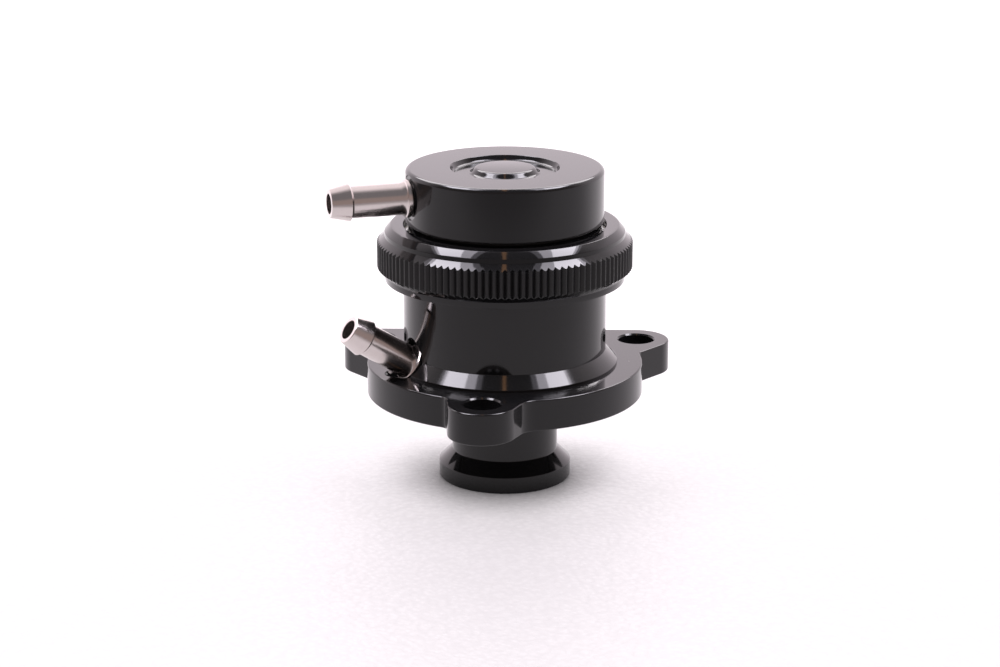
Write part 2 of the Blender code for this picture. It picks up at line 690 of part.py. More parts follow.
def make_piston_screw(finish, parent):
    head_top = SCREW_HEAD_BOTTOM + SCREW_HEAD_HEIGHT
    screw_end = SCREW_HEAD_BOTTOM - SCREW_LENGTH
    outline = [
        (0, head_top),
        (SCREW_HEAD_RADIUS - SCREW_HEAD_EDGE, head_top),
        (SCREW_HEAD_RADIUS, head_top - SCREW_HEAD_EDGE),
        (SCREW_HEAD_RADIUS, SCREW_HEAD_BOTTOM),
        (SCREW_RADIUS, SCREW_HEAD_BOTTOM),
        (SCREW_RADIUS, screw_end + SCREW_HEAD_EDGE),
        (SCREW_RADIUS - SCREW_HEAD_EDGE, screw_end),
        (0, screw_end),
    ]
    screw = turn("piston_screw", outline, SMALL_STEPS, finish, parent)
    socket_floor = head_top - HEX_SOCKET_DEPTH
    cut(screw, turn_rod("hex_socket", HEX_SOCKET_RADIUS, socket_floor, head_top + CUT_MARGIN, 6))
    return settle(screw)


def groove_points():
    # Top groove of the cap, from the central boss out to a rounded outer wall.
    floor = CAP_TOP - TOP_GROOVE_DEPTH
    floor_end = CAP_RADIUS - TOP_RIM_WIDTH - TOP_GROOVE_ROUND
    points = [(TOP_BOSS_RADIUS, CAP_TOP), (TOP_BOSS_RADIUS + TOP_BOSS_SLOPE, floor), (floor_end, floor)]
    for angle in (30, 60, 90):
        across = TOP_GROOVE_ROUND * math.sin(math.radians(angle))
        up = TOP_GROOVE_DEPTH * (1 - math.cos(math.radians(angle)))
        points.append((floor_end + across, floor + up))
    return points


def make_cap(finish, parent):
    outline = [
        (0, CAP_TOP),
        *groove_points(),
        (CAP_RADIUS - CAP_EDGE, CAP_TOP),
        (CAP_RADIUS, CAP_TOP - CAP_EDGE),
        (CAP_RADIUS, CAP_WALL_BOTTOM + CAP_FOOT_EDGE),
        (CAP_RADIUS - CAP_FOOT_EDGE, CAP_WALL_BOTTOM),
        (CAP_NECK_RADIUS, CAP_WALL_BOTTOM),
        (CAP_NECK_RADIUS, CAP_FLANGE_TOP),
        (THREAD_RADIUS, CAP_FLANGE_TOP),
        (THREAD_RADIUS, CAP_FLANGE_BOTTOM),
        (CAP_SPIGOT_RADIUS, CAP_FLANGE_BOTTOM),
        (CAP_SPIGOT_RADIUS, CAP_SPIGOT_BOTTOM),
        (CAP_CAVITY_RADIUS, CAP_SPIGOT_BOTTOM),
        (CAP_CAVITY_RADIUS, CEILING),
        (SPRING_GUIDE_RADIUS, CEILING),
        (SPRING_GUIDE_RADIUS, CEILING - SPRING_GUIDE_LENGTH),
        (0, CEILING - SPRING_GUIDE_LENGTH),
    ]
    cap = turn("cap", outline, LARGE_STEPS, finish, parent)
    seat = cap_nipple_point(CAP_RADIUS - CAP_NIPPLE_INSET)
    inside = cap_nipple_point(CAP_CAVITY_RADIUS - CUT_MARGIN)
    bore_for_nipple(cap, seat, cap_nipple_direction(), inside, parent)
    return settle(cap)


def polar(radius, angle, height):
    return (radius * math.cos(angle), radius * math.sin(angle), height)


def bridge_rings(bm, lower, upper):
    for index, corner in enumerate(lower):
        following = (index + 1) % len(lower)
        bm.faces.new((corner, lower[following], upper[following], upper[index]))


def bridge_teeth(bm, toothed, plain):
    # toothed has a valley and two crest corners for each corner of the plain ring.
    for tooth, near in enumerate(plain):
        far = plain[(tooth + 1) % KNURL_TEETH]
        valley, crest_in, crest_out = toothed[3 * tooth : 3 * tooth + 3]
        next_valley = toothed[(3 * tooth + 3) % (3 * KNURL_TEETH)]
        bm.faces.new((near, valley, crest_in))
        bm.faces.new((near, crest_in, crest_out))
        bm.faces.new((near, crest_out, far))
        bm.faces.new((far, crest_out, next_valley))


def make_locking_collar(finish, parent):
    bm = bmesh.new()
    pitch = math.tau / KNURL_TEETH
    knurl = COLLAR_BORE + KNURL_WALL
    neck = COLLAR_BORE + COLLAR_NECK_WALL
    skirt = COLLAR_BORE + COLLAR_SKIRT_WALL
    valley_half = (pitch - KNURL_CREST / knurl) / 2

    def plain_ring(radius, height):
        return [bm.verts.new(polar(radius, tooth * pitch, height)) for tooth in range(KNURL_TEETH)]

    def toothed_ring(height, chamfer_width, chamfer_height):
        # Each valley runs out through the chamfer, so it ends further along than the crests do.
        run_out = chamfer_height * KNURL_DEPTH / chamfer_width
        corners = []
        for tooth in range(KNURL_TEETH):
            angle = tooth * pitch
            corners.append(bm.verts.new(polar(knurl - KNURL_DEPTH, angle, height + run_out)))
            corners.append(bm.verts.new(polar(knurl, angle + valley_half, height)))
            corners.append(bm.verts.new(polar(knurl, angle + pitch - valley_half, height)))
        return corners

    upper = toothed_ring(KNURL_TOP, knurl - neck, COLLAR_UPPER_CHAMFER)
    lower = toothed_ring(KNURL_BOTTOM, knurl - skirt, -COLLAR_LOWER_CHAMFER)
    rings = [
        plain_ring(neck, NECK_BOTTOM),
        plain_ring(neck, NECK_TOP),
        plain_ring(neck - COLLAR_TOP_CHAMFER_WIDTH, COLLAR_TOP),
        plain_ring(COLLAR_MOUTH, COLLAR_TOP),
        plain_ring(COLLAR_MOUTH, COLLAR_LIP_BOTTOM),
        plain_ring(COLLAR_BORE, COLLAR_LIP_BOTTOM),
        plain_ring(COLLAR_BORE, COLLAR_BOTTOM),
        plain_ring(skirt, COLLAR_BOTTOM),
        plain_ring(skirt, SKIRT_TOP),
    ]
    bridge_teeth(bm, upper, rings[0])
    for ring, following in zip(rings, rings[1:]):
        bridge_rings(bm, ring, following)
    bridge_teeth(bm, lower, rings[-1])
    bridge_rings(bm, lower, upper)
    return add_mesh("locking_collar", bm, finish, parent)


def spring_height(turn_count, bottom, top):
    # The first and last turns lie nearly wire to wire, and the turns between share the rest.
    end_pitch = SPRING_WIRE + SPRING_END_GAP
    active = SPRING_TURNS - 2 * SPRING_END_TURNS
    active_pitch = (top - bottom - 2 * SPRING_END_TURNS * end_pitch) / active
    low = min(turn_count, SPRING_END_TURNS)
    middle = min(max(turn_count - SPRING_END_TURNS, 0), active)
    high = max(turn_count - SPRING_END_TURNS - active, 0)
    return bottom + (low + high) * end_pitch + middle * active_pitch


def make_return_spring(finish, parent):
    bottom = CROWN_POCKET_FLOOR + SEAT_GAP + SPRING_WIRE / 2
    top = SHIM_BOTTOM - SEAT_GAP - SPRING_WIRE / 2
    curve = bpy.data.curves.new("return_spring", "CURVE")
    curve.dimensions = "3D"
    curve.bevel_depth = SPRING_WIRE / 2
    curve.bevel_resolution = 1
    curve.use_fill_caps = True
    spline = curve.splines.new("POLY")
    count = round(SPRING_TURNS * WIRE_STEPS_PER_TURN)
    spline.points.add(count)
    for index, point in enumerate(spline.points):
        turn_count = index / WIRE_STEPS_PER_TURN
        height = spring_height(turn_count, bottom, top)
        point.co = (*polar(SPRING_RADIUS, math.tau * turn_count, height), 1)
    return add_object("return_spring", curve, finish, parent)


def make_nipple(name, seat, direction, finish, parent):
    tip = NIPPLE_LENGTH
    barb = tip - BARB_LENGTH
    outline = [
        (BARB_TIP_RADIUS - BARB_TIP_EDGE, tip),
        (BARB_TIP_RADIUS, tip - BARB_TIP_EDGE),
        (NIPPLE_RADIUS + BARB_RISE, barb),
        (NIPPLE_RADIUS, barb - BARB_BACK),
        (NIPPLE_RADIUS, SHOULDER_HEIGHT + SHOULDER_FILLET),
        (NIPPLE_RADIUS + SHOULDER_RISE / 3, SHOULDER_HEIGHT + SHOULDER_FILLET / 3),
        (SHOULDER_RADIUS, SHOULDER_HEIGHT),
        (SHOULDER_RADIUS, 0),
        (STUD_RADIUS, 0),
        (STUD_RADIUS, STUD_EDGE - STUD_LENGTH),
        (STUD_RADIUS - STUD_EDGE, -STUD_LENGTH),
        (NIPPLE_BORE, -STUD_LENGTH),
        (NIPPLE_BORE, tip - BARB_TIP_EDGE),
        (NIPPLE_BORE + BARB_TIP_EDGE, tip),
    ]
    nipple = turn(name, outline, SMALL_STEPS, finish, parent)
    aim(nipple, seat + SEAT_GAP * direction, direction)
    return nipple


def build():
    clear_scene()
    finishes = {name: make_finish(name) for name in FINISHES}
    housing = add_axis("housing_axis")
    piston = add_axis("piston_axis")
    cap_axis = add_axis("cap_axis")
    collar_axis = add_axis("collar_axis")

    make_valve_body(finishes["black_anodised"], housing)
    make_guide_bush(finishes["bronze"], housing)
    make_snap_ring(finishes["spring_steel"], housing)
    turn_sealing_ring(
        "nose_seal",
        (NOSE_RADIUS + BOSS_BORE) / 2,
        NOSE_SEAL_SECTION,
        BUSH_TOP + SEAL_GAP + NOSE_SEAL_SECTION / 2,
        finishes["rubber"],
        housing,
    )
    turn_sealing_ring(
        "flange_face_o_ring",
        FLANGE_RADIUS - FACE_RING_INSET,
        FACE_RING_SECTION,
        FLANGE_BOTTOM + FACE_RING_SECTION / 2,
        finishes["rubber"],
        housing,
    )
    turn_sealing_ring(
        "cap_o_ring",
        BORE_RADIUS + RIM_RING_INSET,
        RIM_RING_SECTION,
        CAP_FLANGE_BOTTOM - SEAL_GAP - RIM_RING_SECTION / 2,
        finishes["rubber"],
        housing,
    )
    body_seat = body_nipple_point(BODY_RADIUS - BODY_NIPPLE_INSET)
    make_nipple("body_nipple", body_seat, body_nipple_direction(), finishes["stainless"], housing)

    make_piston_nose(finishes["black_anodised"], piston)
    make_piston_crown(finishes["black_anodised"], piston)
    make_piston_screw(finishes["black_steel"], piston)
    turn_sealing_ring(
        "piston_o_ring",
        (RING_GROOVE_RADIUS + BORE_RADIUS) / 2,
        PISTON_RING_SECTION,
        (RING_GROOVE_BOTTOM + RING_GROOVE_TOP) / 2,
        finishes["rubber"],
        piston,
    )
    turn_ring(
        "piston_wear_band",
        BAND_GROOVE_RADIUS + SEAL_GAP,
        BORE_RADIUS - SEAL_GAP,
        BAND_GROOVE_BOTTOM + SEAL_GAP,
        BAND_GROOVE_TOP - SEAL_GAP,
        MIDDLE_STEPS,
        finishes["ptfe"],
        piston,
    )

    make_cap(finishes["black_anodised"], cap_axis)
    cap_seat = cap_nipple_point(CAP_RADIUS - CAP_NIPPLE_INSET)
    make_nipple("cap_nipple", cap_seat, cap_nipple_direction(), finishes["stainless"], cap_axis)
    turn_ring(
        "collar_slip_ring",
        CAP_NECK_RADIUS + SEAT_GAP,
        COLLAR_BORE - SEAT_GAP,
        SLIP_RING_BOTTOM,
        SLIP_RING_BOTTOM + SLIP_RING_THICKNESS,
        MIDDLE_STEPS,
        finishes["ptfe"],
        cap_axis,
    )
    turn_ring(
        "spring_shim",
        SPRING_GUIDE_RADIUS + SEAT_GAP,
        CROWN_POCKET_RADIUS,
        SHIM_BOTTOM,
        SHIM_TOP,
        MIDDLE_STEPS,
        finishes["stainless"],
        cap_axis,
    )
    make_return_spring(finishes["spring_steel"], cap_axis)

    make_locking_collar(finishes["black_polished"], collar_axis)


build()
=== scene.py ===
import math

import bpy
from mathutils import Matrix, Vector


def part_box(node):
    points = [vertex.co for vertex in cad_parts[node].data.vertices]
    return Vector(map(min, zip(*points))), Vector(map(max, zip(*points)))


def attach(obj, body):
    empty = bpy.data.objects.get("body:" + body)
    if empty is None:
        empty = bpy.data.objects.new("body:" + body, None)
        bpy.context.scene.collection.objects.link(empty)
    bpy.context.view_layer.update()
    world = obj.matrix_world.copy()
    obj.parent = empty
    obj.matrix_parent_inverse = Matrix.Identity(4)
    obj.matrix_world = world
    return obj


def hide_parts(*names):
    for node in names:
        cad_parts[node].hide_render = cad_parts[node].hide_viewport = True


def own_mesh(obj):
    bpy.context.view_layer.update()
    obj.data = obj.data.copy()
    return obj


# A blow off valve on a pale table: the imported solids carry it, the pieces below dress it.
# Lengths in the settings are millimetres, and every piece is modelled in place.
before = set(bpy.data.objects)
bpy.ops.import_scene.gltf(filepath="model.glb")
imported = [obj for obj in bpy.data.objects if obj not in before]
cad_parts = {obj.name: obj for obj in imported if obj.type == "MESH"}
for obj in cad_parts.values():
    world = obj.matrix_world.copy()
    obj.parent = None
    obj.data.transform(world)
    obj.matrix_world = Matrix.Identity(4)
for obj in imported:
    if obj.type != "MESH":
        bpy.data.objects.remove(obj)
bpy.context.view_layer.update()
mm = 0.001
scene = bpy.context.scene
flangeThickness = 6.05
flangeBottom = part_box("valve_body")[0].z / mm
flangeTop = flangeBottom + flangeThickness
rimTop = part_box("valve_body")[1].z / mm
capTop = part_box("cap")[1].z / mm
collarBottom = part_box("locking_collar")[0].z / mm
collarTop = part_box("locking_collar")[1].z / mm

# How far a cutter stands out of what it cuts
past = 1


# Modelling helpers

def makeActive(piece):
    bpy.ops.object.select_all(action="DESELECT")
    piece.select_set(True)
    bpy.context.view_layer.objects.active = piece


def openMesh(piece, mode="VERT"):
    makeActive(piece)
    bpy.ops.object.mode_set(mode="EDIT")
    bpy.ops.mesh.select_mode(type=mode)


def closeMesh():
    bpy.ops.object.mode_set(mode="OBJECT")


def pickVertices(piece, wanted):
    # Starts in object mode and ends in edit mode, with the wanted vertices and their edges marked.
    bpy.ops.object.mode_set(mode="EDIT")
    bpy.ops.mesh.select_mode(type="VERT")
    bpy.ops.mesh.select_all(action="DESELECT")
    bpy.ops.object.mode_set(mode="OBJECT")
    for vertex in piece.data.vertices:
        vertex.select = wanted(vertex.co / mm)
    bpy.ops.object.mode_set(mode="EDIT")


def softened(corners, arcSteps):
    # Corners are (across, up) or (across, up, round); a round corner becomes a short arc.
    mostOfSide = 0.48
    points = []
    for index, corner in enumerate(corners):
        here = Vector(corner[:2])
        if len(corner) < 3 or index in (0, len(corners) - 1):
            points.append(here)
            continue
        back = Vector(corners[index - 1][:2]) - here
        ahead = Vector(corners[index + 1][:2]) - here
        opening = back.angle(ahead)
        reach = min(
            corner[2] / math.tan(opening / 2),
            mostOfSide * back.length,
            mostOfSide * ahead.length,
        )
        middle = (back.normalized() + ahead.normalized()).normalized()
        centre = here + middle * reach / math.cos(opening / 2)
        start = here + back.normalized() * reach - centre
        end = here + ahead.normalized() * reach - centre
        for step in range(arcSteps + 1):
            spoke = start.slerp(end, step / arcSteps).normalized()
            points.append(centre + spoke * start.length)
    return points


def drawLine(name, points):
    # One vertex, pushed on from point to point, as by hand.
    first = points[0]
    bpy.ops.mesh.primitive_plane_add(size=mm, location=[value * mm for value in first])
    piece = bpy.context.active_object
    piece.name = name
    piece.data.name = name
    bpy.ops.object.transform_apply(location=True, rotation=True, scale=True)
    openMesh(piece)
    bpy.ops.mesh.select_all(action="SELECT")
    bpy.ops.mesh.merge(type="CENTER")
    for here, there in zip(points, points[1:]):
        step = [(b - a) * mm for a, b in zip(here, there)]
        bpy.ops.mesh.extrude_vertices_move(TRANSFORM_OT_translate={"value": step})
    return piece


def turned(name, corners, steps=256, arcSteps=4, closed=True):
    # Spins a profile of (radius, height) corners round the Z axis.
    sameSpot = 1e-4
    doubles = 2e-7
    profile = softened(corners, arcSteps)
    piece = drawLine(name, [(point.x, 0, point.y) for point in profile])
    if closed:
        ends = (profile[0].copy(), profile[-1].copy())

        def isEnd(co):
            return any((Vector((co.x, co.z)) - end).length < sameSpot for end in ends)

        closeMesh()
        pickVertices(piece, isEnd)
        bpy.ops.mesh.edge_face_add()
    bpy.ops.mesh.select_all(action="SELECT")
    bpy.ops.mesh.spin(steps=steps, angle=math.tau, center=(0, 0, 0), axis=(0, 0, 1))
    bpy.ops.mesh.select_all(action="SELECT")
    bpy.ops.mesh.remove_doubles(threshold=doubles)
    bpy.ops.mesh.normals_make_consistent(inside=False)
    closeMesh()
    return piece


def applied(piece, kind, **values):
    makeActive(piece)
    modifier = piece.modifiers.new(kind.lower(), kind)
    for name, value in values.items():
        setattr(modifier, name, value)
    bpy.ops.object.modifier_apply(modifier=modifier.name)
    return piece


def combined(piece, other, operation="DIFFERENCE"):
    # Cuts the other piece out, or with UNION adds it, and then takes it away.
    applied(piece, "BOOLEAN", operation=operation, solver="EXACT", object=other)
    bpy.data.objects.remove(other, do_unlink=True)


def placed(piece, turn=(0, 0, 0), at=(0, 0, 0)):
    makeActive(piece)
    piece.rotation_euler = [math.radians(angle) for angle in turn]
    piece.location = [value * mm for value in at]
    bpy.ops.object.transform_apply(location=True, rotation=True, scale=True)
    return piece


def polarPoint(radius, angle, height):
    turn = math.radians(angle)
    return (radius * math.cos(turn), radius * math.sin(turn), height)


def finished(piece, body, material, replaces=(), sharp=32):
    makeActive(piece)
    bpy.ops.object.shade_smooth_by_angle(angle=math.radians(sharp), keep_sharp_edges=True)
    applied(piece, "WEIGHTED_NORMAL", keep_sharp=True, weight=50)
    piece.data.materials.clear()
    piece.data.materials.append(material)
    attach(piece, body)
    if replaces:
        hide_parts(*replaces)
    return piece


# Shader helpers

def feed(tree, node, inputs):
    # A socket is linked and a value is set; i0, i1 and so on stand for an input's number.
    for name, value in inputs.items():
        numbered = name[0] == "i" and name[1:].isdigit()
        socket = node.inputs[int(name[1:]) if numbered else name]
        if isinstance(value, bpy.types.NodeSocket):
            tree.links.new(value, socket)
        else:
            socket.default_value = value
    return node


def addNode(tree, kind, settings=None, **inputs):
    node = tree.nodes.new("ShaderNode" + kind)
    for name, value in (settings or {}).items():
        setattr(node, name, value)
    return feed(tree, node, inputs)


def useGroup(tree, group, **inputs):
    node = tree.nodes.new("ShaderNodeGroup")
    node.node_tree = group
    return feed(tree, node, inputs)


def calculated(tree, operation, *values):
    inputs = {f"i{index}": value for index, value in enumerate(values)}
    return addNode(tree, "Math", {"operation": operation}, **inputs).outputs[0]


def ranged(tree, value, low, high, start=0.0, end=1.0, smooth=False):
    # What runs from start to end comes out as low to high.
    settings = {"interpolation_type": "SMOOTHSTEP"} if smooth else None
    return addNode(tree, "MapRange", settings, i0=value, i1=start, i2=end, i3=low, i4=high).outputs[0]


def mixed(tree, share, first, second):
    return addNode(tree, "MixRGB", Fac=share, Color1=first, Color2=second).outputs[0]


def opaque(colour):
    return (*colour, 1)


def addRelief(tree, shader, height, strength, depth):
    bump = addNode(tree, "Bump", Strength=strength, Distance=depth, Height=height)
    tree.links.new(bump.outputs[0], shader.inputs["Normal"])


def newMaterial(name, **constants):
    material = bpy.data.materials.new(name)
    material.use_nodes = True
    tree = material.node_tree
    shader = tree.nodes["Principled BSDF"]
    for socket, value in constants.items():
        shader.inputs[socket].default_value = value
    where = tree.nodes.new("ShaderNodeTexCoord").outputs["Object"]
    return material, tree, shader, where


def newGroup(name, inputs, outputs):
    group = bpy.data.node_groups.new(name, "ShaderNodeTree")
    for socketName, kind, value in inputs:
        socket = group.interface.new_socket(socketName, in_out="INPUT", socket_type=kind)
        if value is not None:
            socket.default_value = value
    for socketName in outputs:
        group.interface.new_socket(socketName, in_out="OUTPUT", socket_type="NodeSocketFloat")
    return group, group.nodes.new("NodeGroupInput"), group.nodes.new("NodeGroupOutput")


# The effects that several finishes share; their scales are waves per metre

effectSettings = {
    "bandScale": 0.13,  # of a lathe line's own scale
    "speckScale": 420.0, "speckEdge": (0.03, 0.07), "speckColour": (0.3, 0.29, 0.28), "speckRoughness": 0.6,
    "filmScale": 85.0, "filmEdge": (0.4, 0.75), "cloudScale": 60.0,
}


def makeTurningMarks():
    # Lathe lines: they follow the radius on flat faces and the height on walls.
    group, given, result = newGroup(
        "turningMarks",
        [("Vector", "NodeSocketVector", None), ("Pitch", "NodeSocketFloat", 6000.0)],
        ["Lines", "Bands"],
    )
    split = addNode(group, "SeparateXYZ", Vector=given.outputs["Vector"])
    flat = addNode(group, "CombineXYZ", X=split.outputs["X"], Y=split.outputs["Y"])
    radius = addNode(group, "VectorMath", {"operation": "LENGTH"}, i0=flat.outputs[0])
    across = calculated(group, "MULTIPLY", radius.outputs["Value"], given.outputs["Pitch"])
    along = calculated(group, "MULTIPLY", split.outputs["Z"], given.outputs["Pitch"])
    place = addNode(group, "CombineXYZ", X=across, Y=along).outputs[0]
    plane = {"noise_dimensions": "2D"}
    fine = addNode(group, "TexNoise", plane, Vector=place, Scale=1.0, Detail=3.0)
    coarse = addNode(group, "TexNoise", plane, Vector=place, Scale=effectSettings["bandScale"], Detail=2.0)
    group.links.new(fine.outputs["Fac"], result.inputs["Lines"])
    group.links.new(coarse.outputs["Fac"], result.inputs["Bands"])
    return group


def makeSurfaceDust():
    # A few pale specks and the cloudy film that handling leaves.
    group, given, result = newGroup(
        "surfaceDust",
        [("Vector", "NodeSocketVector", None), ("Amount", "NodeSocketFloat", 0.1)],
        ["Specks", "Film"],
    )
    where = given.outputs["Vector"]
    cells = addNode(group, "TexVoronoi", {"feature": "F1"}, Vector=where, Scale=effectSettings["speckScale"])
    near = ranged(group, cells.outputs["Distance"], 1.0, 0.0, *effectSettings["speckEdge"])
    pick = addNode(group, "SeparateColor", Color=cells.outputs["Color"])
    rare = calculated(group, "LESS_THAN", pick.outputs[0], given.outputs["Amount"])
    specks = calculated(group, "MULTIPLY", near, rare)
    cloud = addNode(
        group, "TexNoise", Vector=where, Scale=effectSettings["filmScale"], Detail=4.0, Roughness=0.6,
    )
    film = ranged(group, cloud.outputs["Fac"], 0.0, 1.0, *effectSettings["filmEdge"])
    group.links.new(specks, result.inputs["Specks"])
    group.links.new(film, result.inputs["Film"])
    return group


def makeGrain():
    # Fine height for the bump, and a slow drift of the colour.
    group, given, result = newGroup(
        "grain",
        [("Vector", "NodeSocketVector", None), ("Scale", "NodeSocketFloat", 3000.0)],
        ["Height", "Tone"],
    )
    where = given.outputs["Vector"]
    fine = addNode(group, "TexNoise", Vector=where, Scale=given.outputs["Scale"], Detail=4.0)
    wide = addNode(group, "TexNoise", Vector=where, Scale=effectSettings["cloudScale"], Detail=3.0)
    group.links.new(fine.outputs["Fac"], result.inputs["Height"])
    group.links.new(wide.outputs["Fac"], result.inputs["Tone"])
    return group


turningMarks = makeTurningMarks()
surfaceDust = makeSurfaceDust()
grain = makeGrain()


# Finishes: reliefDepth is in metres, pitch and grain are waves per metre

bodyFinish = {
    "ior": 1.42, "pitch": 9000.0, "dust": 0.02, "tone": (0.2, 0.8),
    "dark": (0.004, 0.004, 0.0042), "light": (0.0065, 0.0065, 0.007),
    "roughness": (0.07, 0.13), "bump": 0.05, "reliefDepth": 0.00001,
}
collarFinish = {
    "ior": 1.42, "pitch": 9000.0, "dust": 0.006, "tone": (0.2, 0.8),
    "dark": (0.003, 0.003, 0.0033), "light": (0.005, 0.005, 0.0055),
    "roughness": (0.04, 0.08), "bump": 0.03, "reliefDepth": 0.00001,
    # middle and half of the height of the toothed band, and its roughness
    "knurl": (collarBottom + 4.93, 2.4, 0.34),
}
steelFinish = {
    "pitch": 7000.0, "grain": 1800.0, "dark": (0.62, 0.565, 0.55), "light": (0.74, 0.68, 0.66),
    "roughness": (0.16, 0.27), "bump": 0.2, "reliefDepth": 0.00001,
}
innerFinishes = {
    "sealRubber": {
        "dark": (0.010, 0.010, 0.010), "light": (0.022, 0.022, 0.021),
        "roughness": (0.45, 0.65), "metallic": 0.0, "bump": 0.3, "grain": 2500.0,
    },
    "waxyPtfe": {
        "dark": (0.70, 0.69, 0.65), "light": (0.80, 0.79, 0.76),
        "roughness": (0.35, 0.5), "metallic": 0.0, "bump": 0.1, "grain": 1500.0,
    },
    "sinteredBronze": {
        "dark": (0.42, 0.25, 0.11), "light": (0.60, 0.40, 0.20),
        "roughness": (0.3, 0.5), "metallic": 1.0, "bump": 0.5, "grain": 3500.0,
    },
    "drawnSpringSteel": {
        "dark": (0.34, 0.34, 0.35), "light": (0.48, 0.48, 0.49),
        "roughness": (0.22, 0.36), "metallic": 1.0, "bump": 0.2, "grain": 3000.0,
    },
    "blackOxideSteel": {
        "dark": (0.018, 0.018, 0.02), "light": (0.035, 0.034, 0.034),
        "roughness": (0.3, 0.45), "metallic": 0.7, "bump": 0.3, "grain": 2500.0,
    },
}
innerReliefDepth = 0.00002


def anodised(name, settings):
    material, tree, shader, where = newMaterial(name, Metallic=0.0, IOR=settings["ior"])
    marks = useGroup(tree, turningMarks, Vector=where, Pitch=settings["pitch"])
    dust = useGroup(tree, surfaceDust, Vector=where, Amount=settings["dust"])
    tone = ranged(tree, marks.outputs["Bands"], *settings["tone"])
    base = mixed(tree, tone, opaque(settings["dark"]), opaque(settings["light"]))
    speckled = mixed(tree, dust.outputs["Specks"], base, opaque(effectSettings["speckColour"]))
    tree.links.new(speckled, shader.inputs["Base Color"])
    film = ranged(tree, dust.outputs["Film"], *settings["roughness"])
    specks = calculated(tree, "MULTIPLY", dust.outputs["Specks"], effectSettings["speckRoughness"])
    roughness = calculated(tree, "MAXIMUM", film, specks)
    if "knurl" in settings:
        # The rolled teeth stay duller than the turned faces above and below them.
        middle, half, dull = settings["knurl"]
        split = addNode(tree, "SeparateXYZ", Vector=where)
        inside = calculated(tree, "COMPARE", split.outputs["Z"], middle * mm, half * mm)
        roughness = ranged(tree, inside, roughness, dull)
    tree.links.new(roughness, shader.inputs["Roughness"])
    addRelief(tree, shader, marks.outputs["Lines"], settings["bump"], settings["reliefDepth"])
    return material


def turnedPlace(tree, where, turn, at):
    # Brings a tilted turned piece back onto the Z axis, so that its lathe lines run round it.
    moved = addNode(tree, "Mapping", {"vector_type": "TEXTURE"}, Vector=where)
    moved.inputs["Location"].default_value = [value * mm for value in at]
    moved.inputs["Rotation"].default_value = [math.radians(angle) for angle in turn]
    return moved.outputs[0]


def stainless(name, settings, turn, at):
    material, tree, shader, where = newMaterial(name, Metallic=1.0)
    local = turnedPlace(tree, where, turn, at)
    marks = useGroup(tree, turningMarks, Vector=local, Pitch=settings["pitch"])
    cloud = useGroup(tree, grain, Vector=where, Scale=settings["grain"])
    base = mixed(tree, cloud.outputs["Tone"], opaque(settings["dark"]), opaque(settings["light"]))
    tree.links.new(base, shader.inputs["Base Color"])
    rough = ranged(tree, marks.outputs["Bands"], *settings["roughness"])
    tree.links.new(rough, shader.inputs["Roughness"])
    addRelief(tree, shader, marks.outputs["Lines"], settings["bump"], settings["reliefDepth"])
    return material


def innerFinish(name, settings):
    material, tree, shader, where = newMaterial(name, Metallic=settings["metallic"])
    cloud = useGroup(tree, grain, Vector=where, Scale=settings["grain"])
    base = mixed(tree, cloud.outputs["Tone"], opaque(settings["dark"]), opaque(settings["light"]))
    tree.links.new(base, shader.inputs["Base Color"])
    rough = ranged(tree, cloud.outputs["Height"], *settings["roughness"])
    tree.links.new(rough, shader.inputs["Roughness"])
    addRelief(tree, shader, cloud.outputs["Height"], settings["bump"], innerReliefDepth)
    return material


satinBlack = anodised("satinBlackAnodise", bodyFinish)
polishedBlack = anodised("polishedBlackAnodise", collarFinish)
inner = {name: innerFinish(name, settings) for name, settings in innerFinishes.items()}
print("stage: finishes made")


# Body: barrel and eared flange from one blank

bodySizes = {
    "barrel": 19.35, "coneFoot": 21.6, "coneFrom": 0.45, "coneHeight": 2.25,
    "thread": 20.4, "threadLength": 5.1, "rimRound": 0.3, "coneRound": 0.12, "round": 0.1,
    "disc": 26.45, "ear": 6.45, "edge": 0.32, "edgeSteps": 3, "bolt": 3.45, "boltEdge": 0.3,
    # angle, bolt circle, then taper and fillet of the clockwise and the anticlockwise flank
    "ears": {
        "right": (27.8, 29.3, (21.0, 1.4), (29.0, 4.0)),
        "left": (149.8, 29.2, (29.0, 4.0), (21.0, 1.4)),
        "front": (261.5, 28.3, (12.0, 2.0), (17.0, 4.2)),
    },
    # degrees from point to point of the outline
    "filletStep": 6, "earStep": 4, "discStep": 1.5,
    "bore": 14.0, "leadIn": 0.3, "chamberFloor": 19.4, "chamberRound": 0.4,
    "boss": 12.6, "bossBore": 11.4, "bossTop": 25.3, "bossRound": 0.15, "throat": 10.7, "bushSeat": 19.2,
    # radius, then lower and upper height
    "snapGroove": (12.0, 23.95, 24.75),
    # middle radius, width and depth
    "rimRing": (17.6, 1.8, 1.5), "faceRing": (21.65, 2.1, 1.95),
}


def arcBetween(centre, start, end, sense, step):
    first = math.atan2(start.y - centre.y, start.x - centre.x)
    last = math.atan2(end.y - centre.y, end.x - centre.x)
    sweep = (sense * (last - first)) % math.tau
    count = max(3, math.ceil(math.degrees(sweep) / step))
    radius = (start - centre).length
    angles = [first + sense * sweep * index / count for index in range(count + 1)]
    return [centre + radius * Vector((math.cos(angle), math.sin(angle))) for angle in angles]


